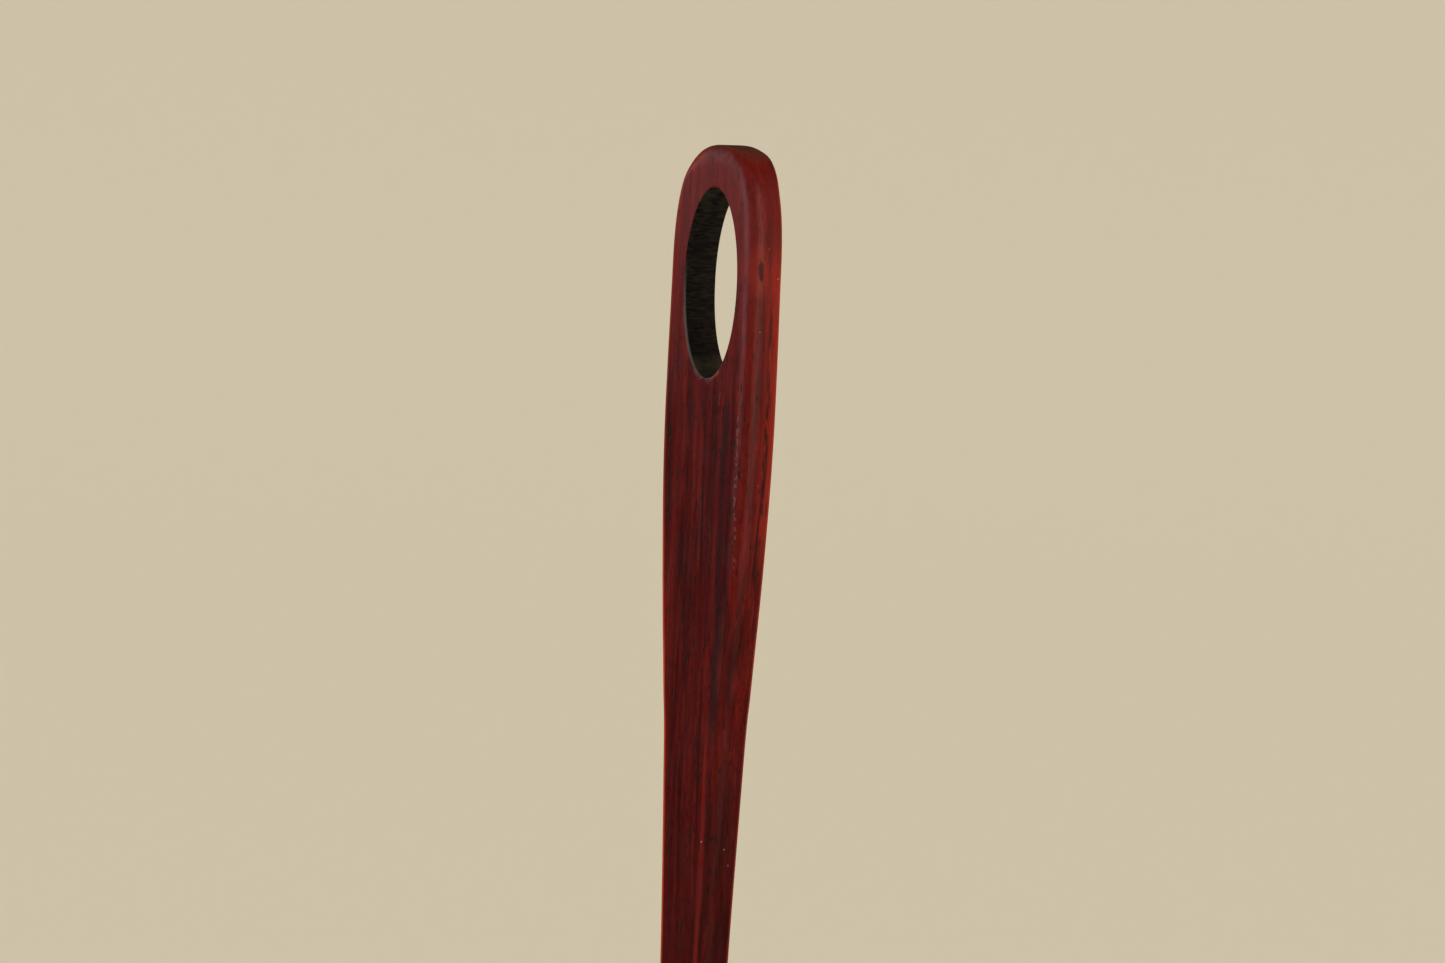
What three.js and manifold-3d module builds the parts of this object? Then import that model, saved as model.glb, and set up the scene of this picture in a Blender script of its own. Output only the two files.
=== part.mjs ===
// A ribbon-loop clay modelling tool: a flat hardwood handle with a long eye through its head. The foot of
// the handle is turned down to a slit tenon. A brass ferrule closes the tenon on the two tails of a steel
// ribbon loop, a wedge spreads the tails inside the slit, and one rivet holds everything together.
//
// Millimetres, +Z up along the handle. The flat faces look along -Y (front) and +Y (back).
// The origin is the top of the eye, where a peg bears when the tool hangs.

import * as THREE from "three";
import { mergeVertices } from "three/addons/utils/BufferGeometryUtils.js";
import Module from "manifold-3d";

const wasm = await Module();
wasm.setup();

// Handle
const THICKNESS = 4.8; // the board that the handle is sawn from
const HANDLE_LENGTH = 136; // without the tenon
const EDGE_RADIUS = 0.85; // round-over of the long edges
const EYE_LENGTH = 20.7;
const EYE_WIDTH = 8.1;
const HEAD_TOP = 4.6; // wood above the eye
const HEAD_LENGTH = 14.5; // the rounded end
const HEAD_HALF_WIDTH = 6.4; // where the rounded end runs out
const HEAD_SQUARENESS = 2.75; // 2 is an ellipse, more is a squarer end
const STATIONS = [
  // distance below the top of the head, half of the width there
  [HEAD_LENGTH, HEAD_HALF_WIDTH],
  [31, 6.5], // widest, below the eye
  [45, 5.92],
  [58.5, 4.92], // shoulder
  [67, 4.28], // hollow under the shoulder
  [94, 3.2], // neck
  [112, 3.5], // swell for the fingertips
  [HANDLE_LENGTH, 2.4], // against the ferrule
];
const FOOT_RADIUS = THICKNESS / 2; // the foot is as round as the board allows
const FOOT_CHAMFER = 0.2; // where the wood meets the ferrule
const FOOT_BLEND = 46; // over this length the flat handle turns into the round foot

// Ferrule
const FERRULE_TOP = HEAD_TOP - HANDLE_LENGTH;
const FERRULE_LENGTH = 14;
const FERRULE_MOUTH = FERRULE_TOP - FERRULE_LENGTH;
const FERRULE_RADIUS = 2.2;
const FERRULE_WALL = 0.3;
const BEAD_RADIUS = 0.2; // how far the two rolled beads stand out
const BEAD_INSET = 2.2; // from each end of the ferrule

// Joint inside the ferrule
const FIT_GAP = 0.05; // between pieces that are pressed or glued together
const TENON_RADIUS = FERRULE_RADIUS - FERRULE_WALL - FIT_GAP;
const TENON_LENGTH = 13.4;
const SLIT_WIDTH = 1.7;
const SLIT_DEPTH = 12.6;
const RIVET_RADIUS = 0.6;
const RIVET_HEAD = 0.25; // height of each peened end
const RIVET_Z = FERRULE_TOP - FERRULE_LENGTH * 0.45;
const WEDGE_THICKNESS = 0.5; // at the mouth
const WEDGE_TIP = 0.24;
const WEDGE_LENGTH = 10.4;
const WEDGE_WIDTH = 2.4;

// Ribbon loop
const RIBBON_WIDTH = 2.6; // along Y
const RIBBON_THICKNESS = 0.5;
const TAIL_X = WEDGE_THICKNESS / 2 + FIT_GAP + RIBBON_THICKNESS / 2;
const TAIL_LENGTH = 11; // inside the ferrule
const LOOP_WIDTH = 14;
const LOOP_LENGTH = 27; // below the ferrule
const LOOP_BOTTOM_HEIGHT = 7.5; // the rounded bottom of the loop

const ROUND_SEGMENTS = 40;

const WOOD_RED = new THREE.MeshStandardMaterial({ color: 0x5e1d16, roughness: 0.42, metalness: 0 });
const BRASS = new THREE.MeshStandardMaterial({ color: 0xb5893c, roughness: 0.32, metalness: 1 });
const STEEL = new THREE.MeshStandardMaterial({ color: 0xb9bcbe, roughness: 0.3, metalness: 1 });
const WEDGE_WOOD = new THREE.MeshStandardMaterial({ color: 0x9a6a3c, roughness: 0.6, metalness: 0 });

// A closed three.js geometry as a solid that can be cut and joined.
function solid(geometry) {
  const bare = geometry.clone();
  bare.deleteAttribute("normal");
  bare.deleteAttribute("uv");
  const merged = mergeVertices(bare, 1e-4);
  const mesh = new wasm.Mesh({
    numProp: 3,
    vertProperties: new Float32Array(merged.attributes.position.array),
    triVerts: new Uint32Array(merged.index.array),
  });
  return new wasm.Manifold(mesh);
}

function geometryOf(manifold) {
  const mesh = manifold.getMesh();
  const geometry = new THREE.BufferGeometry();
  geometry.setAttribute("position", new THREE.BufferAttribute(mesh.vertProperties, 3));
  geometry.setIndex(new THREE.BufferAttribute(mesh.triVerts, 1));
  geometry.computeVertexNormals();
  return geometry;
}

// An XZ outline made into a plate that is centred on Y = 0.
function plate(outline, thickness, edgeRadius = 0) {
  const depth = thickness - 2 * edgeRadius;
  const geometry = new THREE.ExtrudeGeometry(new THREE.Shape(outline), {
    depth,
    bevelEnabled: edgeRadius > 0,
    bevelThickness: edgeRadius,
    bevelSize: edgeRadius,
    bevelOffset: -edgeRadius,
    bevelSegments: 4,
  });
  geometry.rotateX(Math.PI / 2);
  geometry.translate(0, depth / 2, 0);
  return geometry;
}

function cylinderAlongX(radius, length, z) {
  const geometry = new THREE.CylinderGeometry(radius, radius, length, 24);
  geometry.rotateZ(Math.PI / 2);
  geometry.translate(0, 0, z);
  return geometry;
}

// A lathe turns its profile round the Y axis; this stands it up along Z.
function turned(profile) {
  const geometry = new THREE.LatheGeometry(profile, ROUND_SEGMENTS);
  geometry.rotateX(Math.PI / 2);
  return geometry;
}

function point(x, z) {
  return new THREE.Vector2(x, z);
}

function mirrored(points) {
  return points.map((p) => point(-p.x, p.y)).reverse();
}

// Right-hand edge of the handle, from just right of the top of the head down past the ferrule's top. The
// last stretch is waste that the foot's envelope trims off.
function handleEdge() {
  const edge = [];
  const headSteps = 14;
  for (let i = 1; i < headSteps; i += 1) {
    const angle = (i / headSteps) * (Math.PI / 2);
    const across = Math.sin(angle) ** (2 / HEAD_SQUARENESS);
    const along = Math.cos(angle) ** (2 / HEAD_SQUARENESS);
    edge.push(point(HEAD_HALF_WIDTH * across, HEAD_TOP - HEAD_LENGTH * (1 - along)));
  }
  const side = new THREE.SplineCurve(STATIONS.map(([down, half]) => point(half, HEAD_TOP - down)));
  const waste = point(FOOT_RADIUS, FERRULE_TOP - 2 * EDGE_RADIUS);
  return [...edge, ...side.getPoints(6 * (STATIONS.length - 1)), waste];
}

// Everything inside this turned body stays: it rounds the handle's foot to meet the ferrule.
function footEnvelope() {
  const outside = 12;
  const top = HEAD_TOP + 1;
  const flare = new THREE.QuadraticBezierCurve(
    point(FOOT_RADIUS, FERRULE_TOP + FOOT_CHAMFER),
    point(FOOT_RADIUS + 1, FERRULE_TOP + FOOT_BLEND * 0.6),
    point(outside, FERRULE_TOP + FOOT_BLEND),
  );
  const chamfer = point(FOOT_RADIUS - FOOT_CHAMFER, FERRULE_TOP);
  const profile = [
    point(0, FERRULE_TOP),
    chamfer,
    ...flare.getPoints(10),
    point(outside, top),
    point(0, top),
  ];
  return solid(turned(profile));
}

function eyeCut() {
  const eye = new THREE.EllipseCurve(0, -EYE_LENGTH / 2, EYE_WIDTH / 2, EYE_LENGTH / 2);
  return solid(plate(eye.getPoints(56).slice(0, -1), THICKNESS + 4));
}

function slitCut() {
  const slit = new THREE.BoxGeometry(SLIT_WIDTH, THICKNESS + 2, SLIT_DEPTH + 1);
  slit.translate(0, 0, FERRULE_TOP - TENON_LENGTH + (SLIT_DEPTH - 1) / 2);
  return solid(slit);
}

function tenon() {
  const root = 1; // how far it reaches up into the foot, to join it
  const length = TENON_LENGTH + root;
  const geometry = new THREE.CylinderGeometry(TENON_RADIUS, TENON_RADIUS, length, ROUND_SEGMENTS);
  geometry.rotateX(Math.PI / 2);
  geometry.translate(0, 0, FERRULE_TOP + (root - TENON_LENGTH) / 2);
  return solid(geometry);
}

function rivetHole() {
  return solid(cylinderAlongX(RIVET_RADIUS + FIT_GAP, LOOP_WIDTH, RIVET_Z));
}

function handleGeometry() {
  const edge = handleEdge();
  const outline = [point(0, HEAD_TOP), ...edge, ...mirrored(edge)];
  const blank = solid(plate(outline, THICKNESS, EDGE_RADIUS));
  const shaped = blank.intersect(footEnvelope()).add(tenon());
  return geometryOf(shaped.subtract(eyeCut()).subtract(slitCut()).subtract(rivetHole()));
}

// One rolled ridge round the ferrule, from its lower side to its upper side.
function bead(z) {
  const arc = new THREE.EllipseCurve(FERRULE_RADIUS, z, BEAD_RADIUS, BEAD_RADIUS, -Math.PI / 2, Math.PI / 2);
  return arc.getPoints(6);
}

function ferruleGeometry() {
  const inside = FERRULE_RADIUS - FERRULE_WALL;
  const profile = [
    point(inside, FERRULE_MOUTH),
    point(FERRULE_RADIUS, FERRULE_MOUTH),
    ...bead(FERRULE_MOUTH + BEAD_INSET),
    ...bead(FERRULE_TOP - BEAD_INSET),
    point(FERRULE_RADIUS, FERRULE_TOP - FIT_GAP),
    point(inside, FERRULE_TOP - FIT_GAP),
    point(inside, FERRULE_MOUTH),
  ];
  return geometryOf(solid(turned(profile)).subtract(rivetHole()));
}

// From the top of the right tail down to the bottom of the loop, and back up to the left tail.
function ribbonCentreLine() {
  const halfWidth = (LOOP_WIDTH - RIBBON_THICKNESS) / 2;
  const bendStart = FERRULE_MOUTH - 0.8;
  const widest = FERRULE_MOUTH - LOOP_LENGTH + RIBBON_THICKNESS / 2 + LOOP_BOTTOM_HEIGHT;
  const path = new THREE.Path();
  path.moveTo(TAIL_X, FERRULE_MOUTH + TAIL_LENGTH);
  path.lineTo(TAIL_X, bendStart);
  path.bezierCurveTo(TAIL_X, bendStart - 6, halfWidth, widest + 8, halfWidth, widest);
  path.absellipse(0, widest, halfWidth, LOOP_BOTTOM_HEIGHT, 0, -Math.PI / 2, true);
  const right = path.getPoints(16);
  return [...right, ...mirrored(right).slice(1)];
}

// The two faces of the ribbon, one on each side of its centre line.
function ribbonGeometry() {
  const centre = ribbonCentreLine();
  const inner = [];
  const outer = [];
  centre.forEach((p, i) => {
    const before = centre[Math.max(i - 1, 0)];
    const after = centre[Math.min(i + 1, centre.length - 1)];
    const along = after.clone().sub(before).normalize();
    const inward = point(along.y, -along.x).multiplyScalar(RIBBON_THICKNESS / 2);
    inner.push(p.clone().add(inward));
    outer.push(p.clone().sub(inward));
  });
  const outline = [...inner, ...outer.reverse()];
  return geometryOf(solid(plate(outline, RIBBON_WIDTH)).subtract(rivetHole()));
}

// Thick at the ferrule's mouth, thin at the bottom of the slit.
function wedgeGeometry() {
  const mouth = FERRULE_MOUTH + 0.2;
  const outline = [
    point(-WEDGE_THICKNESS / 2, mouth),
    point(WEDGE_THICKNESS / 2, mouth),
    point(WEDGE_TIP / 2, mouth + WEDGE_LENGTH),
    point(-WEDGE_TIP / 2, mouth + WEDGE_LENGTH),
  ];
  return geometryOf(solid(plate(outline, WEDGE_WIDTH)).subtract(rivetHole()));
}

// A round bar along X with a low dome at each end.
function rivetGeometry() {
  const bar = FERRULE_RADIUS;
  const dome = new THREE.EllipseCurve(0, bar, RIVET_RADIUS, RIVET_HEAD, 0, Math.PI / 2).getPoints(5);
  const top = dome.slice(0, -1);
  const profile = [
    point(0, -bar - RIVET_HEAD),
    ...top.map((p) => point(p.x, -p.y)).reverse(),
    ...top,
    point(0, bar + RIVET_HEAD),
  ];
  const geometry = new THREE.LatheGeometry(profile, 24);
  geometry.rotateZ(Math.PI / 2);
  geometry.translate(0, 0, RIVET_Z);
  return geometry;
}

function piece(name, geometry, material) {
  const mesh = new THREE.Mesh(geometry, material);
  mesh.name = name;
  return mesh;
}

const tool = new THREE.Group();
tool.add(
  piece("handle", handleGeometry(), WOOD_RED),
  piece("ferrule", ferruleGeometry(), BRASS),
  piece("ribbon_loop", ribbonGeometry(), STEEL),
  piece("tang_wedge", wedgeGeometry(), WEDGE_WOOD),
  piece("ferrule_rivet", rivetGeometry(), BRASS),
);

export default tool;
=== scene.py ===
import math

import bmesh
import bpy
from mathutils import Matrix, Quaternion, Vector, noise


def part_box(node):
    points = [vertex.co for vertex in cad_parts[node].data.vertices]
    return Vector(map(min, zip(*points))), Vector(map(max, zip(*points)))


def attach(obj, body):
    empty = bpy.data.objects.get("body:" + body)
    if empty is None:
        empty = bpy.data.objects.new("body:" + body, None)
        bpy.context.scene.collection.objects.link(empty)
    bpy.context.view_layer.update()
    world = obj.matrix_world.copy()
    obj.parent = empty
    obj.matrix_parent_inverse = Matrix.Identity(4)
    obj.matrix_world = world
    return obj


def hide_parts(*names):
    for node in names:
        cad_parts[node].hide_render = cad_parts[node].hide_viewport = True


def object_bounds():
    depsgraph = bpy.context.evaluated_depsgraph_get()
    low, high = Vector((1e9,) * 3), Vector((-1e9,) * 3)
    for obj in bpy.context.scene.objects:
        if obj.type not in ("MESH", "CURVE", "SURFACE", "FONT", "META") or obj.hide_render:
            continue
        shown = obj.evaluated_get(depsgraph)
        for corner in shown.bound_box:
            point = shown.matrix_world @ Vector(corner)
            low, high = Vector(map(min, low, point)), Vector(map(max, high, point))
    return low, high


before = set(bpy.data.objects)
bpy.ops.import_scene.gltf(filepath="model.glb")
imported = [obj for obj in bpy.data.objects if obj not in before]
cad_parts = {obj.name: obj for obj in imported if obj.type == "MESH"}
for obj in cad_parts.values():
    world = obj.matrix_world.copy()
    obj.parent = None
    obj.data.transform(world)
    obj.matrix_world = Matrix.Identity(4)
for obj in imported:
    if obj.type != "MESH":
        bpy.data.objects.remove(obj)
cad_low, cad_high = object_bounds()

# A ribbon-loop clay modelling tool: a red hardwood handle with a burnt-out eye, a brass ferrule and rivet,
# and a steel ribbon loop with a wedge between its tails. +Z runs up the handle and -Y out of its front face.
# Blender's units are metres. The shapes are worked out in millimetres, and MM turns them into metres.

MM = 0.001

# Handle
HEAD_LENGTH = 14.5  # the rounded end
HEAD_SQUARENESS = 2.75  # 2 is an ellipse, more is a squarer end
STATIONS = [
    # distance below the top of the head, half of the width there
    (HEAD_LENGTH, 6.4),
    (31, 6.5),  # widest, below the eye
    (45, 5.92),
    (58.5, 4.92),  # shoulder
    (67, 4.28),  # hollow under the shoulder
    (94, 3.2),  # neck
    (112, 3.5),  # swell for the fingertips
    (136, 2.4),  # against the ferrule
]
ROW_SPACING = 0.4  # between the mesh's rows, along the handle's edge
FRONT_ROUND_RIGHT = 1.9  # the right-hand front edge and the top of the head are sanded the roundest
FRONT_ROUND_LEFT = 0.74
FRONT_TOP_DEPTH = 1.2  # over the top, the front's rounding goes less deep than it comes down the face
FRONT_TOP_FROM = 0.5  # above this height, the front edges' rounding turns into the top's
BACK_ROUND = 0.75
BACK_ROUND_SHOULDER = 0.35  # the back edge is left crisper on the head's shoulders
BACK_SHOULDER_FROM = -1
BACK_SHOULDER_TO = 3
BACK_ROUND_TOP = 1.0
BACK_TOP_FROM = 3.4
SANDING_DIP = 0.035  # sanding leaves the flats this far out of true

# Eye
EYE_LENGTH = 20.7
EYE_WIDTH = 8.1
EYE_CENTRE = Vector((0, -EYE_LENGTH / 2))
EYE_FULLNESS = {1: 2, -1: 2.14}  # right and left lower quarter of the eye: 2 is an ellipse, more is fuller
EYE_ARRIS = 0.06  # the eye's rims are left almost sharp

# Foot and tenon
FOOT_BLEND = 46  # over this length the flat handle turns into the round foot
FOOT_FLARE = 9.6  # how far the rounding opens out over that length
FOOT_BEND = 0.6  # middle control point of the flare's curve: this share of the length up,
FOOT_BEND_FLARE = 1  # and this far out
FOOT_SOFTNESS = 0.06  # of the line between the flat faces and the round foot
FOOT_CHAMFER = 0.2
TENON_RADIUS = 1.85
TENON_LENGTH = 13.4
TENON_BEVEL = 0.15
SLIT_WIDTH = 1.7
SLIT_DEPTH = 12.6

# Ferrule and rivet
FERRULE_WALL = 0.3
FERRULE_LIP = 0.1  # radius of the tube's rounded ends
BEAD_RADIUS = 0.2
BEAD_INSET = 2.2
BEAD_SUNK = 0.02  # how far a bead's middle lies inside the tube's surface
PUNCH_MARKS = 8  # shallow marks round the ferrule lock it to the wood
PUNCH_DEPTH = 0.09
PUNCH_SIZE = 0.32
PUNCH_BELOW_TOP = 3.4
RIVET_RADIUS = 0.6
RIVET_CLEARANCE = 0.02  # between the rivet and its hole

# Ribbon loop and wedge
RIBBON_THICKNESS = 0.5
RIBBON_TAIL_X = 0.55
LOOP_BOTTOM_HEIGHT = 7.5
CUTTING_BEVEL = 0.55  # how far the ground bevel reaches back from the cutting edge
WEDGE_TIP = 0.24


def millimetres(node):
    """Lowest and highest corner of a CAD node, in millimetres."""
    low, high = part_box(node)
    return Vector(low) / MM, Vector(high) / MM


handle_low, handle_high = millimetres("handle")
ferrule_low, ferrule_high = millimetres("ferrule")
loop_low, loop_high = millimetres("ribbon_loop")
rivet_low, rivet_high = millimetres("ferrule_rivet")
wedge_low, wedge_high = millimetres("tang_wedge")

HEAD_TOP = handle_high.z
HALF_THICKNESS = handle_high.y
SHOULDER = HEAD_TOP - STATIONS[-1][0]
FERRULE_TOP = ferrule_high.z
MOUTH = ferrule_low.z
FERRULE_RADIUS = ferrule_high.y - BEAD_RADIUS
RIVET_Z = (rivet_low.z + rivet_high.z) / 2


# Mesh helpers


def finished(name, bm, *materials, sharp_degrees=40):
    """A bmesh in millimetres as a smooth-shaded object in metres, with its materials."""
    bmesh.ops.remove_doubles(bm, verts=bm.verts, dist=1e-4)
    bmesh.ops.recalc_face_normals(bm, faces=bm.faces)
    limit = math.radians(sharp_degrees)
    for edge in bm.edges:
        edge.smooth = not (edge.is_manifold and edge.calc_face_angle() > limit)
    for face in bm.faces:
        face.smooth = True
    bmesh.ops.scale(bm, vec=(MM, MM, MM), verts=bm.verts)
    mesh = bpy.data.meshes.new(name)
    bm.to_mesh(mesh)
    bm.free()
    for material in materials:
        mesh.materials.append(material)
    piece = bpy.data.objects.new(name, mesh)
    bpy.context.scene.collection.objects.link(piece)
    return piece


def grid(bm, rows, material=0):
    """Quads between neighbouring rows of points; gives the rows of vertices."""
    made = [[bm.verts.new(point) for point in row] for row in rows]
    for near, far in zip(made, made[1:]):
        for a, b, c, d in zip(near, near[1:], far[1:], far):
            bm.faces.new((a, b, c, d)).material_index = material
    return made


def closed_bar(bm, rows):
    """A bar whose rows of points each run once round it, with a face over both of its ends."""
    made = grid(bm, [row + [row[0]] for row in rows])
    for end in (made[0], made[-1]):
        bm.faces.new(end[:-1])


def cut(piece, tool):
    """Takes the tool's volume out of the piece and removes the tool."""
    modifier = piece.modifiers.new("cut", "BOOLEAN")
    modifier.operation = "DIFFERENCE"
    modifier.solver = "EXACT"
    modifier.object = tool
    with bpy.context.temp_override(object=piece, active_object=piece, selected_objects=[piece]):
        bpy.ops.object.modifier_apply(modifier="cut")
    mesh = tool.data
    bpy.data.objects.remove(tool)
    bpy.data.meshes.remove(mesh)


def block(name, low, high):
    """A box in millimetres that only serves to cut."""
    bm = bmesh.new()
    bmesh.ops.create_cube(bm, size=1)
    size = high - low
    bmesh.ops.scale(bm, vec=size, verts=bm.verts)
    bmesh.ops.translate(bm, vec=(low + high) / 2, verts=bm.verts)
    return finished(name, bm)


def lay_across(bm):
    """Turns what was made along Z so that it runs along X, at the rivet's height."""
    z_to_x = Vector((0, 0, 1)).rotation_difference(Vector((1, 0, 0))).to_matrix()
    bmesh.ops.rotate(bm, verts=bm.verts, matrix=z_to_x)
    bmesh.ops.translate(bm, vec=(0, 0, RIVET_Z), verts=bm.verts)


def rivet_drill():
    """A bar across the tool, as wide as the rivet's hole and longer than the tool is wide."""
    radius = RIVET_RADIUS + RIVET_CLEARANCE
    bm = bmesh.new()
    bmesh.ops.create_cone(bm, cap_ends=True, segments=48, radius1=radius, radius2=radius, depth=12)
    lay_across(bm)
    return finished("drill", bm)


def catmull_rom(points, steps):
    """A smooth curve through the points, in steps pieces between each two."""
    curve = []
    last = len(points) - 1
    for i in range(last):
        start, end = points[i], points[i + 1]
        leave = (end - points[max(i - 1, 0)]) / 2
        arrive = (points[min(i + 2, last)] - start) / 2
        for k in range(steps):
            t = k / steps
            curve.append(
                (2 * t**3 - 3 * t**2 + 1) * start
                + (t**3 - 2 * t**2 + t) * leave
                + (3 * t**2 - 2 * t**3) * end
                + (t**3 - t**2) * arrive
            )
    curve.append(points[last])
    return curve


def bezier(a, b, c, d, steps):
    """Points on a cubic Bezier curve, without its last one."""
    return [
        (1 - t) ** 3 * a + 3 * (1 - t) ** 2 * t * b + 3 * (1 - t) * t * t * c + t**3 * d
        for t in (k / steps for k in range(steps))
    ]


def arc_points(centre, radius, start, end, steps):
    """Points on an arc in (r, z); the angles are in degrees from the outward direction."""
    angles = [math.radians(start + (end - start) * k / steps) for k in range(steps + 1)]
    return [Vector((centre[0] + radius * math.cos(a), centre[1] + radius * math.sin(a))) for a in angles]


def lengths_along(points):
    """Distance from the first point to each point, along the curve."""
    total = [0.0]
    for a, b in zip(points, points[1:]):
        total.append(total[-1] + (b - a).length)
    return total


def evenly_spaced(points, step):
    """The same curve with points about one step apart."""
    along = lengths_along(points)
    count = round(along[-1] / step)
    curve = []
    j = 0
    for i in range(count + 1):
        target = along[-1] * i / count
        while j < len(points) - 2 and along[j + 1] < target:
            j += 1
        span = along[j + 1] - along[j]
        curve.append(points[j].lerp(points[j + 1], (target - along[j]) / span if span else 0))
    return curve


def outward(points, i):
    """Unit normal of an XZ curve at one of its points, to the left of its direction."""
    along = (points[min(i + 1, len(points) - 1)] - points[max(i - 1, 0)]).normalized()
    return Vector((-along.y, along.x))


def eased(value, low, high, at_low, at_high):
    """at_low where value is below low, at_high where it is above high, and a smooth change between."""
    share = min(max((value - low) / (high - low), 0.0), 1.0)
    return at_low + (at_high - at_low) * share * share * (3 - 2 * share)


def uneven(x, y, z):
    """Smooth noise from about 0 to 1, with waves about one unit long."""
    return 0.5 + 0.5 * noise.noise(Vector((x, y, z)))


def turned(bm, profile, segments, closed):
    """Turns an (r, z) profile round the Z axis; closed joins the profile's last point to its first."""
    rows = []
    for k in range(segments + 1):
        a = 2 * math.pi * (k % segments) / segments
        rows.append([Vector((p.x * math.cos(a), p.x * math.sin(a), p.y)) for p in profile])
    if closed:
        rows = [row + [row[0]] for row in rows]
    grid(bm, rows)
    bmesh.ops.remove_doubles(bm, verts=bm.verts, dist=1e-5)


# Handle


def handle_edge():
    """Right-hand edge in (x, z), from the top of the head down to the ferrule."""
    head_steps = 90
    head_half = STATIONS[0][1]
    edge = []
    for i in range(head_steps):
        angle = math.pi / 2 * i / head_steps
        across = math.sin(angle) ** (2 / HEAD_SQUARENESS)
        along = math.cos(angle) ** (2 / HEAD_SQUARENESS)
        edge.append(Vector((head_half * across, HEAD_TOP - HEAD_LENGTH * (1 - along))))
    side = catmull_rom([Vector((half, HEAD_TOP - down)) for down, half in STATIONS], 48)
    return evenly_spaced(edge + side, ROW_SPACING)


def foot_radius(z):
    """Radius that the handle is rounded to at this height: the foot is round, the rest is left flat.

    It follows a quadratic Bezier curve, and t is the place on that curve.
    """
    height = min(max(z - SHOULDER, 0.0), FOOT_BLEND)
    rise = 2 * FOOT_BEND * FOOT_BLEND
    bend = FOOT_BLEND - rise
    t = (-rise + math.sqrt(rise * rise + 4 * bend * height)) / (2 * bend)
    foot = HALF_THICKNESS
    middle = foot + FOOT_BEND_FLARE
    radius = (1 - t) ** 2 * foot + 2 * (1 - t) * t * middle + t * t * (foot + FOOT_FLARE)
    return min(radius, foot - FOOT_CHAMFER + height)


def rounded_foot(x, y, z):
    """A point of the flat handle, drawn in to the round foot with a soft blend."""
    reach = max(math.hypot(x, y), 1e-6)
    limit = foot_radius(z)
    drawn = limit - FOOT_SOFTNESS * math.log1p(math.exp((limit - reach) / FOOT_SOFTNESS))
    return Vector((x * drawn / reach, y * drawn / reach, z))


def hand_finish(point):
    """A point of the handle, moved in a little by the sanding."""
    dip = SANDING_DIP * uneven(point.x / 5, point.y / 5, point.z / 11)
    reach = math.hypot(point.x, point.y)
    scale = 1 - dip / max(reach, 1.0)
    return Vector((point.x * scale, point.y * scale, point.z))


def eye_arc(fullness):
    """Half of the eye in (x, z), from its top to its bottom, as if it were the right-hand half."""
    steps = 400
    arc = []
    for k in range(steps + 1):
        across = math.sin(math.pi * k / steps)
        along = math.cos(math.pi * k / steps)
        power = 1 if along > 0 else 2 / fullness
        across = max(across, 0) ** power
        along = math.copysign(abs(along) ** power, along)
        arc.append(EYE_CENTRE + Vector((EYE_WIDTH / 2 * across, EYE_LENGTH / 2 * along)))
    return arc


def eye_points(edge, fullness):
    """For each point of the edge, the point opposite it: on the eye, and below the eye on the middle line.

    Also gives the index of the edge's point that is opposite the eye's bottom.
    """
    bottom = -EYE_LENGTH
    fan = 3.5  # the rows fan out round the eye's bottom, and reach the edge up to this far below it
    levelling = 9  # the length of edge over which they then turn level again
    least_gap = 0.05  # between two rows on the middle line
    last = next(i for i, p in enumerate(edge) if p.y < bottom - fan)
    arc = eye_arc(fullness)
    arc_along = lengths_along(arc)
    edge_along = lengths_along(edge)
    opposite = []
    for i, p in enumerate(edge):
        if i <= last:
            target = edge_along[i] / edge_along[last] * arc_along[-1]
            k = min(range(len(arc)), key=lambda j: abs(arc_along[j] - target))
            opposite.append(arc[k].copy())
        else:
            gone = edge_along[i] - edge_along[last]
            lag = (bottom - edge[last].y) * math.exp(-gone / levelling)
            opposite.append(Vector((0, min(p.y + lag, bottom - least_gap * (i - last)))))
    opposite[0].x = 0
    opposite[last] = Vector((0, bottom))
    return opposite, last


def face_and_round(edge_point, normal, inner, inset_width, depth, on_eye):
    """Points of the back from the inner point out and over the round edge. The front is its mirror image."""
    flat_steps = 10
    round_steps = 10
    inset = edge_point - normal * inset_width
    if on_eye:
        inner = inner + (inset - inner).normalized() * EYE_ARRIS
    points = []
    for k in range(flat_steps):
        p = inner.lerp(inset, k / flat_steps)
        points.append((p.x, HALF_THICKNESS, p.y))
    for k in range(round_steps + 1):
        turn = math.pi / 2 * k / round_steps
        p = inset + normal * inset_width * math.sin(turn)
        points.append((p.x, HALF_THICKNESS - depth * (1 - math.cos(turn)), p.y))
    return points


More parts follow.
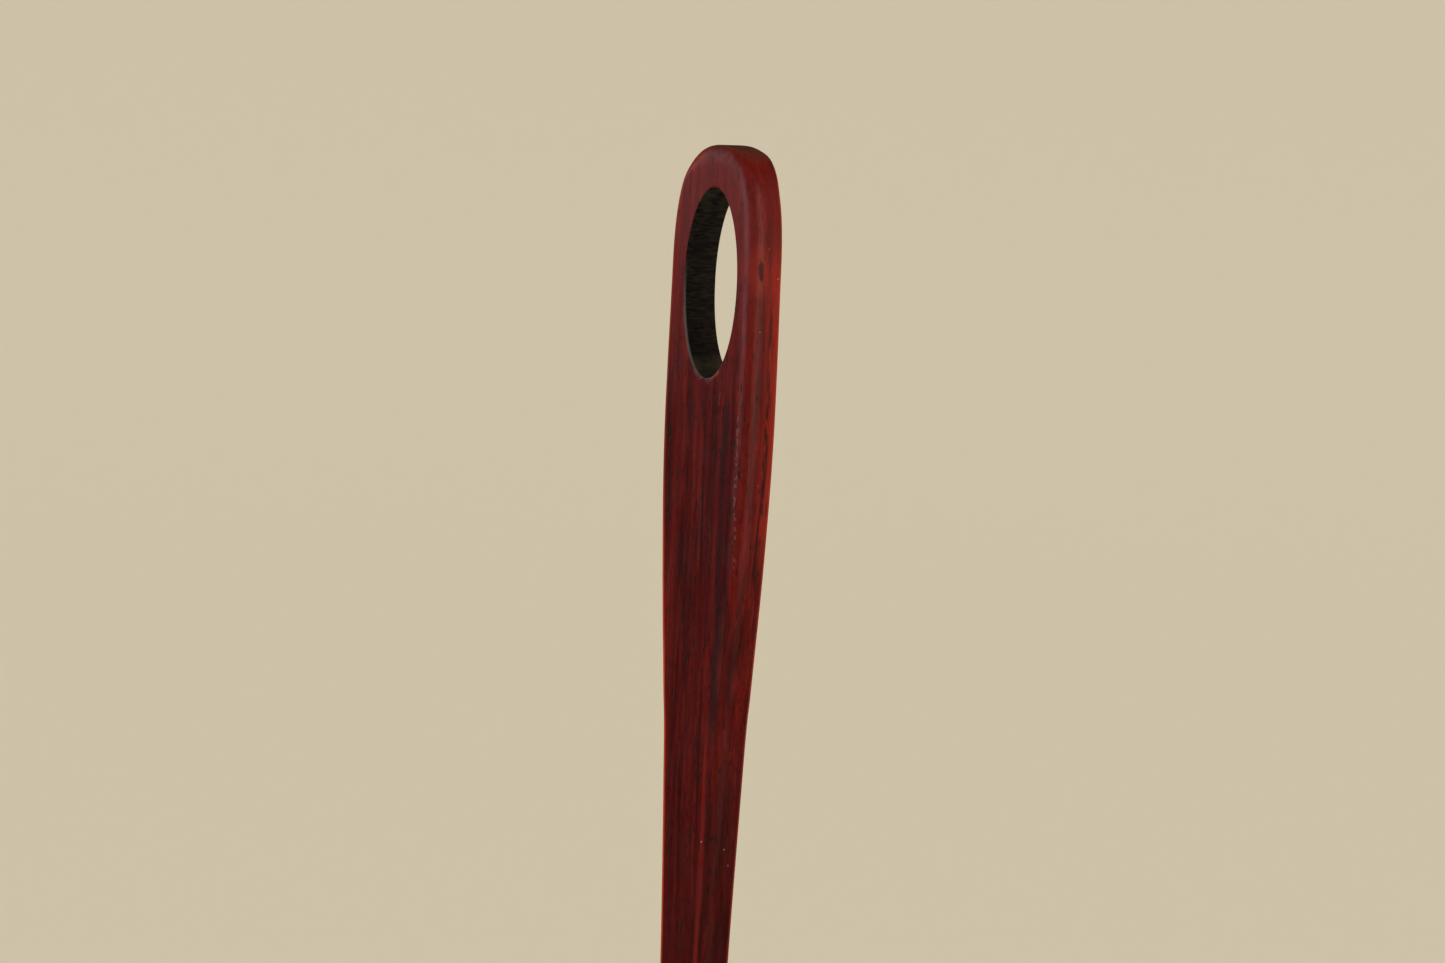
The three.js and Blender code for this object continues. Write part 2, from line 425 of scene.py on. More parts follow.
def handle_section(edge, opposite, i, on_eye, side):
    """One row of points round half of the handle, from the front's inner point to the back's.

    Side 1 is the right half and side -1 is the left.
    """
    normal = Vector((0, 1)) if i == 0 else outward(edge, i)
    height = edge[i].y
    round_side = FRONT_ROUND_RIGHT if side > 0 else FRONT_ROUND_LEFT
    front_inset = eased(height, FRONT_TOP_FROM, HEAD_TOP, round_side, FRONT_ROUND_RIGHT)
    front_depth = eased(height, FRONT_TOP_FROM, HEAD_TOP, round_side, FRONT_TOP_DEPTH)
    back_radius = eased(height, BACK_SHOULDER_FROM, BACK_SHOULDER_TO, BACK_ROUND, BACK_ROUND_SHOULDER)
    back_radius = eased(height, BACK_TOP_FROM, HEAD_TOP, back_radius, BACK_ROUND_TOP)
    front = face_and_round(edge[i], normal, opposite[i], front_inset, front_depth, on_eye)
    back = face_and_round(edge[i], normal, opposite[i], back_radius, back_radius, on_eye)
    low = -HALF_THICKNESS + front_depth
    high = HALF_THICKNESS - back_radius
    steps = 5
    between = [(edge[i].x, low + (high - low) * k / steps, edge[i].y) for k in range(1, steps)]
    points = [(x, -y, z) for x, y, z in front] + between + list(reversed(back))
    return [hand_finish(rounded_foot(side * x, y, z)) for x, y, z in points]


def eye_wall_row(rim, side):
    """One row across the eye's wall, from the front rim to the back rim, rough where the burn came out."""
    half_depth = HALF_THICKNESS - EYE_ARRIS
    steps = 16
    away = (rim - EYE_CENTRE).normalized()
    row = []
    for k in range(steps + 1):
        share = k / steps
        y = -half_depth + 2 * half_depth * share
        stripe = noise.noise(Vector((rim.x * 2.2, y * 0.35, rim.y * 2.2)))
        ragged = noise.noise(Vector((rim.x * 1.1, 7.0 + y * 0.2, rim.y * 1.1)))
        depth = 0.02 + 0.02 * stripe + 0.07 * share**3 * max(ragged + 0.25, 0)
        if share < 0.5:
            depth *= min(share * steps, 1)
        p = rim + away * max(depth, 0)
        row.append(Vector((side * p.x, y, p.y)))
    return row


def make_handle(wood, char):
    edge = handle_edge()
    bm = bmesh.new()
    for side in (1, -1):
        opposite, last_on_eye = eye_points(edge, EYE_FULLNESS[side])
        rows = [handle_section(edge, opposite, i, i <= last_on_eye, side) for i in range(len(edge))]
        grid(bm, rows)
        wall = [eye_wall_row(opposite[i], side) for i in range(last_on_eye + 1)]
        grid(bm, wall, material=1)
        for column in (0, -1):
            grid(bm, [[rows[i][column], wall[i][column]] for i in range(last_on_eye + 1)], material=1)
    bmesh.ops.remove_doubles(bm, verts=bm.verts, dist=1e-3)
    close_foot(bm)
    handle = finished("handle_wood", bm, wood, char)
    cut(handle, slit_cutter())
    cut(handle, rivet_drill())
    return handle


def close_foot(bm):
    """Carries the foot's open end in to the tenon, down it, and across its end."""
    rings = [
        # radius and height
        (TENON_RADIUS, SHOULDER),
        (TENON_RADIUS, SHOULDER - TENON_LENGTH * 0.98),
        (TENON_RADIUS - TENON_BEVEL, SHOULDER - TENON_LENGTH),
    ]
    rim = [edge for edge in bm.edges if edge.is_boundary]
    for radius, z in rings:
        made = bmesh.ops.extrude_edge_only(bm, edges=rim)["geom"]
        for vert in (item for item in made if isinstance(item, bmesh.types.BMVert)):
            reach = math.hypot(vert.co.x, vert.co.y)
            vert.co = Vector((vert.co.x / reach * radius, vert.co.y / reach * radius, z))
        rim = [item for item in made if isinstance(item, bmesh.types.BMEdge)]
    bmesh.ops.contextual_create(bm, geom=rim)


def slit_cutter():
    """A block as wide as the tenon's slit, which reaches out of the tenon in front, behind and below."""
    tenon_end = SHOULDER - TENON_LENGTH
    low = Vector((-SLIT_WIDTH / 2, -4, tenon_end - 1))
    high = Vector((SLIT_WIDTH / 2, 4, tenon_end + SLIT_DEPTH))
    return block("slit", low, high)


# Ferrule, ribbon loop, wedge and rivet


def ferrule_profile():
    """The tube's wall in (r, z): up its outside over the two beads, and down its bore."""
    lip = FERRULE_LIP
    bore = FERRULE_RADIUS - FERRULE_WALL
    profile = arc_points((FERRULE_RADIUS - lip, MOUTH + lip), lip, -90, 0, 5)
    for z in (MOUTH + BEAD_INSET, FERRULE_TOP - BEAD_INSET):
        profile += arc_points((FERRULE_RADIUS - BEAD_SUNK, z), BEAD_RADIUS + BEAD_SUNK, -84, 84, 12)
    profile += arc_points((FERRULE_RADIUS - lip, FERRULE_TOP - lip), lip, 0, 90, 5)
    profile += [Vector((bore, FERRULE_TOP)), Vector((bore, MOUTH + 0.12)), Vector((bore + 0.1, MOUTH))]
    fine = []
    for a, b in zip(profile, profile[1:]):
        count = max(1, round((b - a).length / 0.35))
        fine += [a.lerp(b, k / count) for k in range(count)]
    return fine + profile[-1:]


def make_ferrule(brass):
    bm = bmesh.new()
    turned(bm, ferrule_profile(), 128, closed=True)
    for vert in bm.verts:
        crimp_and_wear(vert)
    ferrule = finished("ferrule_tube", bm, brass, sharp_degrees=50)
    cut(ferrule, rivet_drill())
    return ferrule


def crimp_and_wear(vert):
    """Moves a vertex of the ferrule in, under the punch marks and where handling has dulled its roundness."""
    co = vert.co
    reach = math.hypot(co.x, co.y)
    angle = math.atan2(co.y, co.x)
    apart = 2 * math.pi / PUNCH_MARKS
    dent = 0.0
    for k in range(PUNCH_MARKS):
        turn = (angle - apart / 2 - k * apart + math.pi) % (2 * math.pi) - math.pi
        away = math.hypot(turn * FERRULE_RADIUS, co.z - (FERRULE_TOP - PUNCH_BELOW_TOP))
        dent += PUNCH_DEPTH * math.exp(-((away / PUNCH_SIZE) ** 2))
    if reach < FERRULE_RADIUS - FERRULE_WALL / 2:
        dent = min(dent, 0.03)  # the bore keeps clear of the tenon
    wave = 0.012 * uneven(co.x * 0.9, co.y * 0.9, co.z * 0.5)
    scale = 1 - (dent + wave) / reach
    vert.co = Vector((co.x * scale, co.y * scale, co.z))


def ribbon_line():
    """Middle line of the ribbon in (x, z), down the right side and up the left."""
    half = loop_high.x - RIBBON_THICKNESS / 2
    widest = loop_low.z + RIBBON_THICKNESS / 2 + LOOP_BOTTOM_HEIGHT
    tail_top = Vector((RIBBON_TAIL_X, loop_high.z))
    tail_end = Vector((RIBBON_TAIL_X, MOUTH - 0.8))
    tail_steps = 12
    loop_steps = 60
    right = [tail_top.lerp(tail_end, k / tail_steps) for k in range(tail_steps)]
    right += bezier(
        tail_end,
        tail_end - Vector((0, 6)),
        Vector((half, widest + 8)),
        Vector((half, widest)),
        loop_steps,
    )
    for k in range(loop_steps + 1):
        a = math.pi / 2 * k / loop_steps
        right.append(Vector((half * math.cos(a), widest - LOOP_BOTTOM_HEIGHT * math.sin(a))))
    return right + [Vector((-p.x, p.y)) for p in reversed(right[:-1])]


def make_ribbon(steel):
    """A strip whose front edge is ground to a cutting edge from the outside and whose back edge is eased."""
    line = ribbon_line()
    half_width = loop_high.y
    half_thick = RIBBON_THICKNESS / 2
    ease = 0.08
    section = [
        # outwards from the loop, along Y
        (-half_thick, -half_width + 0.03),
        (-half_thick + 0.04, -half_width),
        (-half_thick + 0.1, -half_width),
        (half_thick, -half_width + CUTTING_BEVEL),
        (half_thick, -half_width * 0.3),
        (half_thick, half_width * 0.4),
        (half_thick, half_width - ease),
        (half_thick - ease, half_width),
        (-half_thick + ease, half_width),
        (-half_thick, half_width - ease),
        (-half_thick, half_width * 0.4),
        (-half_thick, -half_width * 0.3),
    ]
    rows = []
    for i, p in enumerate(line):
        normal = outward(line, i)
        rows.append([Vector((p.x + normal.x * t, y, p.y + normal.y * t)) for t, y in section])
    bm = bmesh.new()
    closed_bar(bm, rows)
    ribbon = finished("ribbon_strip", bm, steel, sharp_degrees=20)
    cut(ribbon, rivet_drill())
    return ribbon


def make_wedge(wood):
    """A thin riven wedge, thick at the mouth, with its long edges eased."""
    half_width = wedge_high.y
    thick = wedge_high.x
    ease = 0.06
    steps = 40
    rows = []
    for k in range(steps + 1):
        share = k / steps
        z = wedge_low.z + (wedge_high.z - wedge_low.z) * share
        half = thick + (WEDGE_TIP / 2 - thick) * share
        half -= 0.012 * uneven(3.0, 0, z * 1.3)
        corners = [(half, half_width - ease), (half - ease * 0.8, half_width)]
        corners += [(-x, y) for x, y in reversed(corners)]
        corners += [(x, -y) for x, y in reversed(corners)]
        rows.append([Vector((x, y, z)) for x, y in corners])
    bm = bmesh.new()
    closed_bar(bm, rows)
    wedge = finished("wedge_sliver", bm, wood)
    cut(wedge, rivet_drill())
    return wedge


def make_rivet(brass):
    """A wire whose ends are peened to low domes, a little uneven from the hammer."""
    bar = FERRULE_RADIUS
    dome = rivet_high.x - bar
    dome_steps = 12
    end = []
    for k in range(dome_steps + 1):
        a = math.pi / 2 * (1 - k / dome_steps)
        end.append(Vector((RIVET_RADIUS * math.cos(a), bar + dome * math.sin(a))))
    profile = end + [Vector((RIVET_RADIUS, bar * share)) for share in (0.5, 0, -0.5)]
    profile += [Vector((p.x, -p.y)) for p in reversed(end)]
    bm = bmesh.new()
    turned(bm, profile, 48, closed=False)
    for vert in bm.verts:
        facet = noise.cell(Vector((vert.co.x * 3.1, vert.co.y * 3.1, 0 if vert.co.z > 0 else 5)))
        if abs(vert.co.z) > bar:
            vert.co.z -= math.copysign(0.03 * facet * (abs(vert.co.z) - bar) / dome, vert.co.z)
    lay_across(bm)
    return finished("rivet_wire", bm, brass, sharp_degrees=60)


# Materials


def srgb(red, green, blue):
    """An sRGB colour, 0 to 255, as the linear RGBA that shaders take."""
    def linear(value):
        value /= 255
        return value / 12.92 if value <= 0.04045 else ((value + 0.055) / 1.055) ** 2.4
    return (linear(red), linear(green), linear(blue), 1.0)


class Shader:
    """A node material under construction, with short calls for the nodes that are used here."""

    def __init__(self, name, **constants):
        self.material = bpy.data.materials.new(name)
        self.material.use_nodes = True
        self.tree = self.material.node_tree
        self.surface = self.tree.nodes["Principled BSDF"]
        for socket, value in constants.items():
            self.surface.inputs[socket.replace("_", " ")].default_value = value
        self.coordinates = self.tree.nodes.new("ShaderNodeTexCoord")
        self.colour = None

    def connect(self, value, socket):
        """Gives an input socket its value, which is another node's output or a constant."""
        if isinstance(value, bpy.types.NodeSocket):
            self.tree.links.new(value, socket)
        else:
            socket.default_value = value

    def set(self, socket, value):
        self.connect(value, self.surface.inputs[socket])

    def paint(self, share, colour):
        """Lays a colour over the colour so far; it hides it where share is 1."""
        self.colour = self.mix(share, self.colour, colour)

    def stretched(self, sizes, shift=0.0):
        """Object coordinates counted in cells of these sizes in millimetres along X, Y and Z."""
        node = self.tree.nodes.new("ShaderNodeMapping")
        node.inputs["Scale"].default_value = [1 / (size * MM) for size in sizes]
        node.inputs["Location"].default_value = (shift, shift * 0.7, shift * 1.3)
        self.tree.links.new(self.coordinates.outputs["Object"], node.inputs["Vector"])
        return node.outputs["Vector"]

    def noise(self, sizes, detail=2.0, roughness=0.5, distortion=0.0, shift=0.0):
        node = self.tree.nodes.new("ShaderNodeTexNoise")
        node.inputs["Scale"].default_value = 1.0
        node.inputs["Detail"].default_value = detail
        node.inputs["Roughness"].default_value = roughness
        node.inputs["Distortion"].default_value = distortion
        self.tree.links.new(self.stretched(sizes, shift), node.inputs["Vector"])
        return node.outputs["Fac"]

    def specks(self, sizes, shift=0.0):
        """Distance to the nearest of scattered points, and a random number for each point."""
        node = self.tree.nodes.new("ShaderNodeTexVoronoi")
        node.inputs["Scale"].default_value = 1.0
        self.tree.links.new(self.stretched(sizes, shift), node.inputs["Vector"])
        colour = self.tree.nodes.new("ShaderNodeSeparateColor")
        self.tree.links.new(node.outputs["Color"], colour.inputs["Color"])
        return node.outputs["Distance"], colour.outputs["Red"]

    def ramp(self, value, low, high, to_low=0.0, to_high=1.0, smooth=True):
        """value between low and high, carried over to to_low and to_high, and held beyond them."""
        node = self.tree.nodes.new("ShaderNodeMapRange")
        node.interpolation_type = "SMOOTHSTEP" if smooth else "LINEAR"
        sockets = ("Value", "From Min", "From Max", "To Min", "To Max")
        for socket, number in zip(sockets, (value, low, high, to_low, to_high)):
            self.connect(number, node.inputs[socket])
        return node.outputs["Result"]

    def math(self, operation, *values):
        node = self.tree.nodes.new("ShaderNodeMath")
        node.operation = operation
        for value, socket in zip(values, node.inputs):
            self.connect(value, socket)
        return node.outputs["Value"]

    def plus(self, *values):
        """Sum of the values, each a socket or a number."""
        total = values[0]
        for value in values[1:]:
            total = self.math("ADD", total, value)
        return total

    def times(self, *values):
        """Product of the values, each a socket or a number."""
        product = values[0]
        for value in values[1:]:
            product = self.math("MULTIPLY", product, value)
        return product

    def mix(self, share, first, second):
        """The first colour where share is 0, the second where it is 1."""
        node = self.tree.nodes.new("ShaderNodeMix")
        node.data_type = "RGBA"
        self.connect(share, node.inputs["Factor"])
        self.connect(first, node.inputs["A"])
        self.connect(second, node.inputs["B"])
        return node.outputs["Result"]

    def parts(self, vector):
        node = self.tree.nodes.new("ShaderNodeSeparateXYZ")
        self.tree.links.new(vector, node.inputs["Vector"])
        return node.outputs["X"], node.outputs["Y"], node.outputs["Z"]

    def axes(self):
        """Object coordinates in millimetres, as three numbers."""
        return self.parts(self.stretched((1, 1, 1)))

    def normals(self):
        """The surface's direction in the object's own axes, as three numbers from -1 to 1."""
        return self.parts(self.coordinates.outputs["Normal"])

    def bump(self, height, depth, below=None):
        """Relief of this depth in millimetres, laid on the relief below it."""
        node = self.tree.nodes.new("ShaderNodeBump")
        node.inputs["Strength"].default_value = 1.0
        node.inputs["Distance"].default_value = depth * MM
        self.tree.links.new(height, node.inputs["Height"])
        if below is not None:
            self.tree.links.new(below, node.inputs["Normal"])
        self.tree.links.new(node.outputs["Normal"], self.surface.inputs["Normal"])
        return node.outputs["Normal"]


class RedHardwood(Shader):
    """The handle's oiled dark red wood. Each lay method puts one thing on top of those before it."""

    def __init__(self):
        super().__init__("red_hardwood", Coat_Weight=0.1, Coat_Roughness=0.2, Specular_IOR_Level=0.34)
        self.x, self.y, self.z = self.axes()
        self.across, self.outwards, self.upwards = self.normals()
        self.front = self.ramp(self.y, -1.6, -1.9)
        self.front_half = self.ramp(self.y, -0.4, -0.8)
        self.right_side = self.ramp(self.x, 2.0, 2.4)
        fibres = self.noise((0.2, 0.2, 3.2), detail=3, roughness=0.7, shift=35)
        self.fibres = self.ramp(fibres, 0.35, 0.7)
        self.pores = self.ramp(self.noise((0.3, 0.3, 1.9), detail=1, shift=9), 0.63, 0.72)
        self.drift = self.ramp(self.noise((3, 3, 9), shift=30), 0, 1, -0.5, 0.5, smooth=False)
        self.knot = None

    def lay_figure(self):
        """Growth layers, crimson and orange streaks, dark fibres and darker blotches."""
        layers = self.ramp(self.noise((1.4, 1.4, 50), detail=2, distortion=0.3), 0.36, 0.64)
        crimson = self.ramp(self.noise((1.0, 1.0, 13), detail=2, shift=4), 0.42, 0.62)
        streaks = self.ramp(self.noise((0.55, 0.55, 9), detail=3, roughness=0.55, shift=21), 0.45, 0.7)
        blotches = self.ramp(self.noise((0.5, 0.5, 0.9), detail=3, roughness=0.6, shift=70), 0.5, 0.68)
        self.colour = self.mix(layers, srgb(68, 8, 5), srgb(112, 15, 8))
        self.paint(self.times(crimson, 0.6), srgb(102, 12, 15))
        self.paint(self.times(streaks, 0.4), srgb(158, 28, 13))
        self.paint(self.times(self.fibres, 0.17), srgb(46, 6, 5))
        self.paint(self.times(blotches, 0.4), srgb(40, 6, 7))

    def stripe(self, place, middle, width, low, high):
        """1 along a line up the handle, where place is near middle, fading out at its two ends."""
        fade = 6
        off = self.math("ABSOLUTE", self.math("SUBTRACT", self.plus(place, self.drift), middle))
        ends = self.times(self.ramp(self.z, low, low + fade), self.ramp(self.z, high, high - fade))
        return self.times(self.ramp(off, width, 0.15 * width), ends)

    def lay_stripes(self):
        """Single lines of other wood: three on the front, then an orange and two dark ones on the right."""
        self.paint(self.times(self.stripe(self.x, 3.3, 0.75, -62, -20), self.front, 0.8), srgb(52, 20, 25))
        self.paint(self.times(self.stripe(self.x, 0.4, 0.35, -45, -28), self.front, 0.7), srgb(46, 10, 10))
        self.paint(self.times(self.stripe(self.x, 2.45, 0.4, -96, -56), self.front, 0.6), srgb(168, 28, 15))
        right = self.right_side
        self.paint(self.times(self.stripe(self.y, 1.3, 1.9, -42, -4), right, 0.5), srgb(182, 44, 14))
        self.paint(self.times(self.stripe(self.y, 0.3, 0.5, -13, -1), right, 0.6), srgb(44, 9, 8))
        gaps = self.ramp(self.noise((0.3, 0.3, 2.2), detail=3, roughness=0.6, shift=40), 0.38, 0.52)
        self.paint(self.times(self.stripe(self.y, 0.75, 0.6, -44, -9), right, gaps, 0.85), srgb(44, 11, 10))

    def lay_knot(self):
        """A small ragged pin knot on the right side, with a paler halo."""
        across = self.math("DIVIDE", self.plus(self.y, self.drift, 1.1), 0.42)
        along = self.plus(self.z, 8.5)
        ragged = self.noise((0.35, 0.35, 0.9), detail=2, shift=80)
        ragged = self.ramp(ragged, 0.3, 0.7, -0.8, 0.8, smooth=False)
        reach = self.plus(self.times(across, across), self.times(along, along), ragged)
        halo = self.times(self.ramp(reach, 14, 2), self.right_side)
        self.knot = self.times(self.ramp(reach, 1.7, 0.5), self.right_side)
        self.paint(self.times(halo, 0.3), srgb(186, 56, 34))
        self.paint(self.times(self.knot, 0.95), srgb(32, 9, 10))

    def lay_painted_rim_light_and_end_grain(self):
        """Painted rim light: paler orange along the front left and back right rounded edges. Then bare end
        grain painted tan, with a painted sheen where it faces up.
        """
        edges = self.rounded_edges()
        front_left = self.times(self.ramp(self.across, 0, -0.05), self.ramp(self.z, -28, -45, 0.3, 1.0))
        back_right = self.ramp(self.across, 0, 0.05, 0, 0.28)
        patchy = self.ramp(self.noise((2, 2, 9), shift=50), 0.25, 0.5, 0.7, 1.0)
        above_foot = self.ramp(self.z, -116, -102)
        # Painted rim light: the front left and back right rounded edges get pale orange in place of light
        # that rims them
        rim_lit_edges = self.plus(front_left, back_right)
        self.paint(self.times(rim_lit_edges, self.ramp(edges, 0.01, 0.2), patchy, above_foot), srgb(232, 80, 36))
        # Bare end grain where the surface faces up, painted tan; the tan is partly a painted sheen of light
        # from above on the head's top
        end_grain_and_top_sheen = self.ramp(self.upwards, 0.45, 0.95)
        self.paint(self.times(end_grain_and_top_sheen, 0.75), srgb(120, 78, 52))

    def rounded_edges(self):
        """Above 0 on the front left and back right rounded edges, below 0 on the other two."""
        return self.times(self.across, self.outwards)

    def lay_painted_light_and_shade(self):
        """A head painted paler where more light falls on it, a darker lower handle, and painted shade in a
        strip down its right-hand side.
        """
        # Painted light: the head is painted paler and pinker where it catches more light
        self.paint(self.times(self.ramp(self.z, -26, -2), 0.22), srgb(172, 56, 52))
        self.paint(self.times(self.ramp(self.z, -45, -85), 0.22), srgb(48, 6, 5))
        # Painted shade: a darker strip over the lower handle's right-hand edges, kept off the back right edge
        # with its painted rim light
        strip = self.times(self.ramp(self.x, 2.1, 2.9), self.ramp(self.z, -52, -72))
        clear_of_rim_light = self.ramp(self.rounded_edges(), 0.1, 0.0)
        self.paint(self.times(strip, clear_of_rim_light, 0.35), srgb(34, 5, 5))

    def lay_open_grain(self):
        """Two short lines of open grain on the front, which hold pale dust from the sanding."""
        lines = self.plus(self.stripe(self.x, 5.2, 0.3, -44, -20), self.stripe(self.x, 2.2, 0.22, -27, -18))
        chalky = self.ramp(self.noise((0.25, 0.25, 0.6), detail=1, shift=90), 0.52, 0.62)
        self.paint(self.times(lines, self.front_half, chalky, 0.32), srgb(158, 122, 118))

    def lay_dust(self):
        """A few specks of dust."""
        distance, choice = self.specks((1.3, 1.3, 1.3), shift=60)
        dust = self.times(self.ramp(distance, 0.09, 0.05), self.ramp(choice, 0.9, 0.91))
        self.paint(self.times(dust, 0.7), srgb(196, 170, 150))

    def lay_oil(self):
        """The oil's uneven sheen over the fine relief of fibres and pores; pores and knot stay duller."""
        sheen = self.ramp(self.noise((2.5, 2.5, 5), detail=3, shift=15), 0.3, 0.7, 0.28, 0.38)
        self.set("Roughness", self.plus(sheen, self.times(self.pores, 0.2), self.times(self.knot, 0.4)))
        relief = self.bump(self.fibres, 0.008)
        self.bump(self.math("SUBTRACT", 1.0, self.pores), 0.02, relief)


def red_hardwood():
    wood = RedHardwood()
    wood.lay_figure()
    wood.lay_stripes()
    wood.lay_knot()
    wood.paint(wood.times(wood.pores, 0.75), srgb(30, 8, 8))
    wood.lay_painted_rim_light_and_end_grain()
    wood.lay_painted_light_and_shade()
    wood.lay_open_grain()
    wood.lay_dust()
    wood.set("Base Color", wood.colour)
    wood.lay_oil()
    return wood.material


def burnt_wood():
    """The eye's wall: matt black char with fine fibres, browner at its ends, painted paler at its bottom as
    light falling there, and ashen grey on its lower front rim that is also a painted glint.
    """
    char = Shader("burnt_wood", Specular_IOR_Level=0.3)
    _, y, z = char.axes()
    fibres = char.noise((0.16, 1.6, 0.16), detail=4, roughness=0.6)
    patches = char.noise((0.5, 1.5, 2.6), detail=3, shift=3)
    char.colour = char.mix(char.ramp(fibres, 0.4, 0.65), srgb(17, 15, 13), srgb(46, 42, 37))
    # The bottom's paler olive patches are browner char and painted light: colour put where light falls on the
    # eye's bottom
    bottom = char.ramp(z, -17.8, -19.8)
    char.paint(char.times(bottom, char.ramp(patches, 0.3, 0.65, 0.4, 0.9)), srgb(80, 77, 64))
    top = char.ramp(z, -4, -0.5, 0, 0.45)
    char.paint(char.times(top, char.ramp(patches, 0.3, 0.65)), srgb(74, 71, 58))
    # Ashen grey on the lower front rim, laid also as a painted glint along that arris
    front_rim = char.ramp(y, -1.95, -2.2)
    lower_part = char.ramp(z, -7, -14)
    ash_and_glint = char.times(front_rim, lower_part, char.ramp(patches, 0.25, 0.5, 0.3, 0.9))
    char.paint(ash_and_glint, srgb(120, 113, 118))
    char.set("Base Color", char.colour)
    char.set("Roughness", char.ramp(fibres, 0.3, 0.7, 0.7, 0.95))
    char.bump(fibres, 0.05)
    return char.material


def metal(name, bright, dull, rough, line_sizes):
    """A satin metal with fine lines of these sizes along X, Y and Z, dulled in patches."""
    shader = Shader(name, Metallic=1.0)
    lines = shader.noise(line_sizes, detail=3, roughness=0.65)
    patches = shader.ramp(shader.noise((1.8, 1.8, 2.6), detail=4, shift=6), 0.4, 0.75)
    shader.set("Base Color", shader.mix(patches, bright, dull))
    worn = shader.ramp(patches, 0, 1, rough, rough + 0.1)
    shader.set("Roughness", shader.plus(worn, shader.ramp(lines, 0.3, 0.7, -0.04, 0.06)))
    shader.bump(lines, 0.002)
    return shader.material


def brass(name, rough, line_sizes):
    return metal(name, srgb(214, 174, 100), srgb(170, 130, 72), rough, line_sizes)


def ribbon_steel():
    return metal("ribbon_steel", srgb(204, 205, 206), srgb(160, 162, 165), 0.24, (0.05, 0.05, 1.2))


def wedge_wood():
    wood = Shader("wedge_wood", Specular_IOR_Level=0.4)
    streaks = wood.ramp(wood.noise((0.12, 0.12, 6), detail=3), 0.3, 0.7)
    wood.set("Base Color", wood.mix(streaks, srgb(132, 88, 48), srgb(176, 130, 80)))
    wood.set("Roughness", wood.ramp(streaks, 0, 1, 0.55, 0.7))
    wood.bump(streaks, 0.01)
    return wood.material


# The tool

TOOL_PIECES = bpy.data.collections.new("tool_pieces")
METAL_PIECES = bpy.data.collections.new("metal_pieces")


def place(piece, node, slot, *collections):
    """Puts a piece in the place of its CAD node, and in the collections that decide which lamps light it."""
    for collection in collections:
        collection.objects.link(piece)
    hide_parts(node)
    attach(piece, "root")


def make_tool():
    handle = make_handle(red_hardwood(), burnt_wood())
    place(handle, "handle", "red_hardwood", TOOL_PIECES)
    ferrule = make_ferrule(brass("ferrule_brass", 0.26, (1.5, 1.5, 0.05)))
    place(ferrule, "ferrule", "ferrule_brass", TOOL_PIECES, METAL_PIECES)
    rivet = make_rivet(brass("rivet_brass", 0.3, (0.3, 0.3, 0.3)))
    place(rivet, "ferrule_rivet", "rivet_brass", TOOL_PIECES, METAL_PIECES)
    ribbon = make_ribbon(ribbon_steel())
    place(ribbon, "ribbon_loop", "ribbon_steel", TOOL_PIECES, METAL_PIECES)
    wedge = make_wedge(wedge_wood())
    place(wedge, "tang_wedge", "wedge_wood", TOOL_PIECES)


# Studio

WHITE = (1.0, 1.0, 1.0)
COOL = (0.84, 0.9, 1.0)
COOLER = (0.84, 0.88, 1.0)
SALMON = (1.0, 0.6, 0.5)
WARM = (1.0, 0.86, 0.78)
IVORY = (1.0, 0.98, 0.95)

VIEW_AZIMUTH = 45
VIEW_ELEVATION = 5
VIEW_ROLL = 2.7  # degrees that the tool leans to the right in the picture
VIEW_DISTANCE = 542.9  # millimetres


def make_floor():
    """A pale round floor under the tool, which sweeps up so gently that no edge shows."""
    paper = Shader("floor_paper", Base_Color=srgb(214, 203, 177), Roughness=0.85, Specular_IOR_Level=0.2)
    level = cad_low.z / MM
    flat = 1300
    flat_steps = 8
    sweep = 6500
    profile = [Vector((flat * k / flat_steps, level)) for k in range(flat_steps)]
    profile += arc_points((flat, level + sweep), sweep, -90, -25, 65)
    bm = bmesh.new()
    turned(bm, profile, 96, closed=False)
    floor = finished("floor", bm, paper.material)
    floor.visible_glossy = False
    return floor


def direction(azimuth, elevation):
    """Unit vector from the tool: azimuth 0 is in front of it, 90 at its right-hand side."""
    a, e = math.radians(azimuth), math.radians(elevation)
    return Vector((math.sin(a) * math.cos(e), -math.cos(a) * math.cos(e), math.sin(e)))


def add_lamp(name, data, towards, lit):
    lamp = bpy.data.objects.new(name, data)
    lamp.rotation_mode = "QUATERNION"
    lamp.rotation_quaternion = towards.to_track_quat("Z", "Y")
    lamp.light_linking.receiver_collection = lit
    bpy.context.scene.collection.objects.link(lamp)
    return lamp


def soft_light(name, azimuth, elevation, distance, size, brightness, colour, aim, lit=TOOL_PIECES):
    """A rectangular lamp that looks at the tool's middle line at the height aim, and lights only lit.

    Distance, size and aim are in metres.
    """
    data = bpy.data.lights.new(name, "AREA")
    data.shape = "RECTANGLE"
    data.size, data.size_y = size
    data.energy = brightness * math.pi * size[0] * size[1]
    data.color = colour
    towards = direction(azimuth, elevation)
    lamp = add_lamp(name, data, towards, lit)
    lamp.location = Vector((0, 0, aim)) + towards * distance
    return lamp


def make_world():
    world = bpy.data.worlds.new("studio")
    world.use_nodes = True
    background = world.node_tree.nodes["Background"]
    background.inputs["Color"].default_value = (*WHITE, 1)
    background.inputs["Strength"].default_value = 0.03
    bpy.context.scene.world = world


def light_floor(floor):
    """Even daylight from straight above, on the floor alone."""
    floor_only = bpy.data.collections.new("lit_by_daylight")
    floor_only.objects.link(floor)
    daylight = bpy.data.lights.new("daylight", "SUN")
    daylight.angle = math.radians(60)
    daylight.energy = 2.53
    add_lamp("daylight", daylight, direction(0, 90), floor_only)


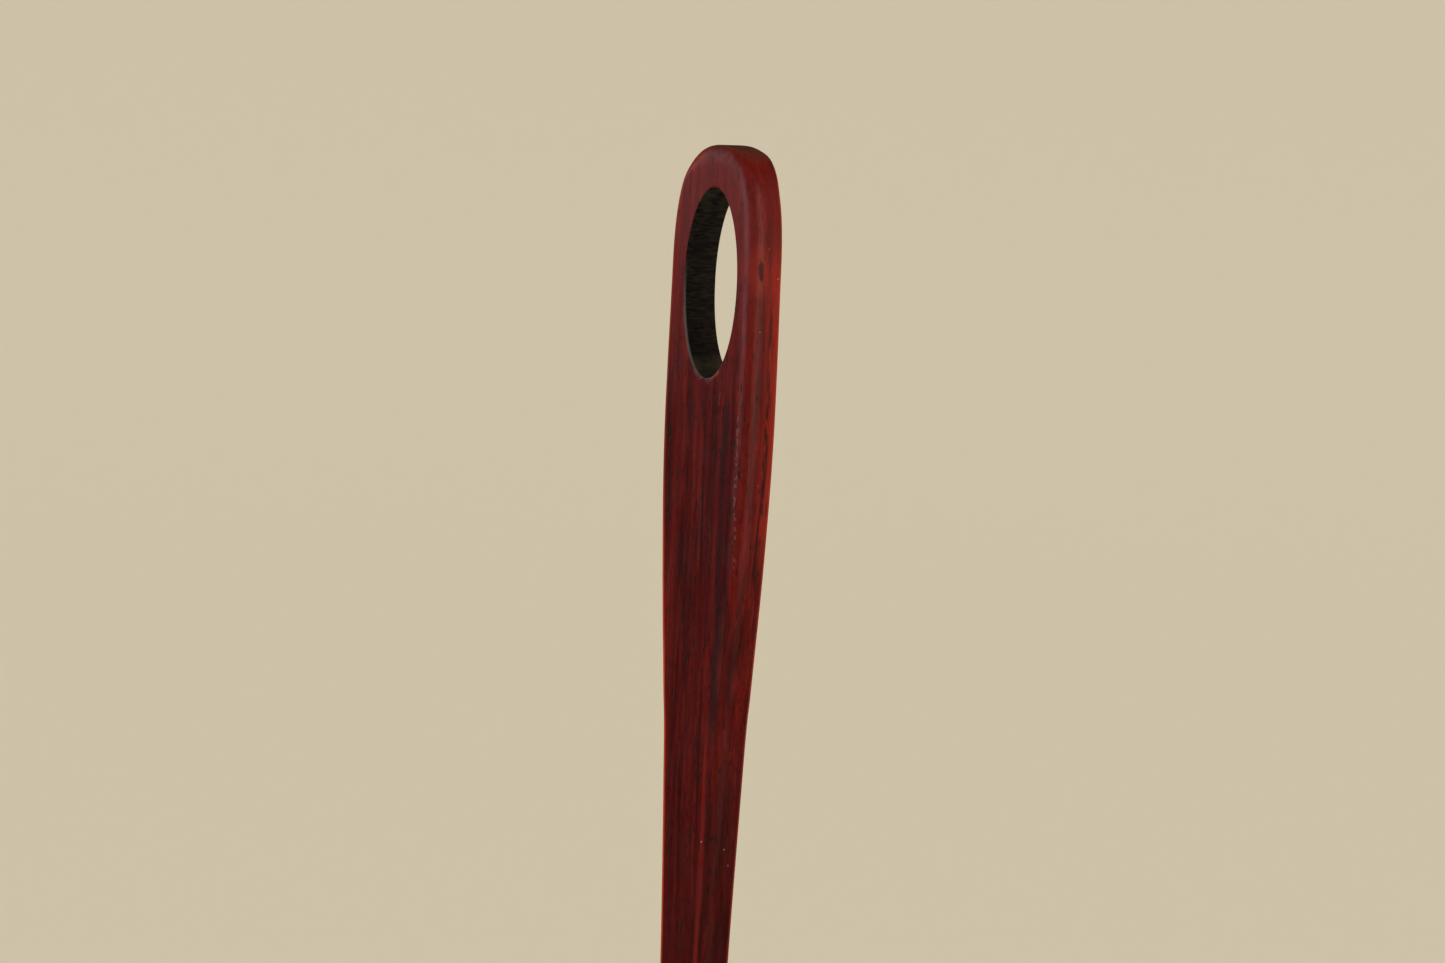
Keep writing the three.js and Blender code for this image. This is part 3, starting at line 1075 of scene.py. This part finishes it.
def light_tool():
    """A cool window at the front left, a warm lamp at the right, fills behind, and panels for the metal."""
    soft_light(
        "window", azimuth=-47, elevation=21, distance=0.32, size=(0.3, 0.26),
        brightness=0.75, colour=COOL, aim=0.0,
    )
    soft_light(
        "window_strip", azimuth=0, elevation=8, distance=0.5, size=(0.22, 0.26),
        brightness=2.1, colour=COOLER, aim=0.005,
    )
    soft_light(
        "side", azimuth=99, elevation=8, distance=0.35, size=(0.3, 0.3),
        brightness=1.25, colour=SALMON, aim=-0.015,
    )
    for name, azimuth, brightness in (("left_fill", -112, 2.9), ("back_fill", 158, 1.5)):
        fill = soft_light(
            name, azimuth, elevation=4, distance=0.5, size=(0.3, 0.45),
            brightness=brightness, colour=WARM, aim=-0.07,
        )
        fill.visible_glossy = False
    for turn in range(4):
        panel = soft_light(
            "panel", azimuth=20 + 90 * turn, elevation=0, distance=0.4, size=(0.62, 0.55),
            brightness=0.75, colour=IVORY, aim=-0.15, lit=METAL_PIECES,
        )
        panel.light_linking.blocker_collection = METAL_PIECES


def make_camera():
    """Looks at the tool's front right edge from a little above, and at the upper half of the handle."""
    data = bpy.data.cameras.new("camera")
    data.sensor_width = 36
    data.lens = 124.6
    data.clip_start, data.clip_end = 0.01, 200
    camera = bpy.data.objects.new("camera", data)
    bpy.context.scene.collection.objects.link(camera)
    towards = direction(VIEW_AZIMUTH, VIEW_ELEVATION)
    turn = towards.to_track_quat("Z", "Y") @ Quaternion((0, 0, 1), math.radians(VIEW_ROLL))
    right = turn @ Vector((1, 0, 0))
    up = turn @ Vector((0, 1, 0))
    near_eye_middle = Vector((0, 0, -10.2))
    aside = 0.385
    below = 21.7
    aim = near_eye_middle - right * aside - up * below
    camera.location = (aim + towards * VIEW_DISTANCE) * MM
    camera.rotation_mode = "QUATERNION"
    camera.rotation_quaternion = turn
    bpy.context.scene.camera = camera


make_tool()
make_world()
light_floor(make_floor())
light_tool()
make_camera()
bpy.context.scene.view_settings.view_transform = "Standard"
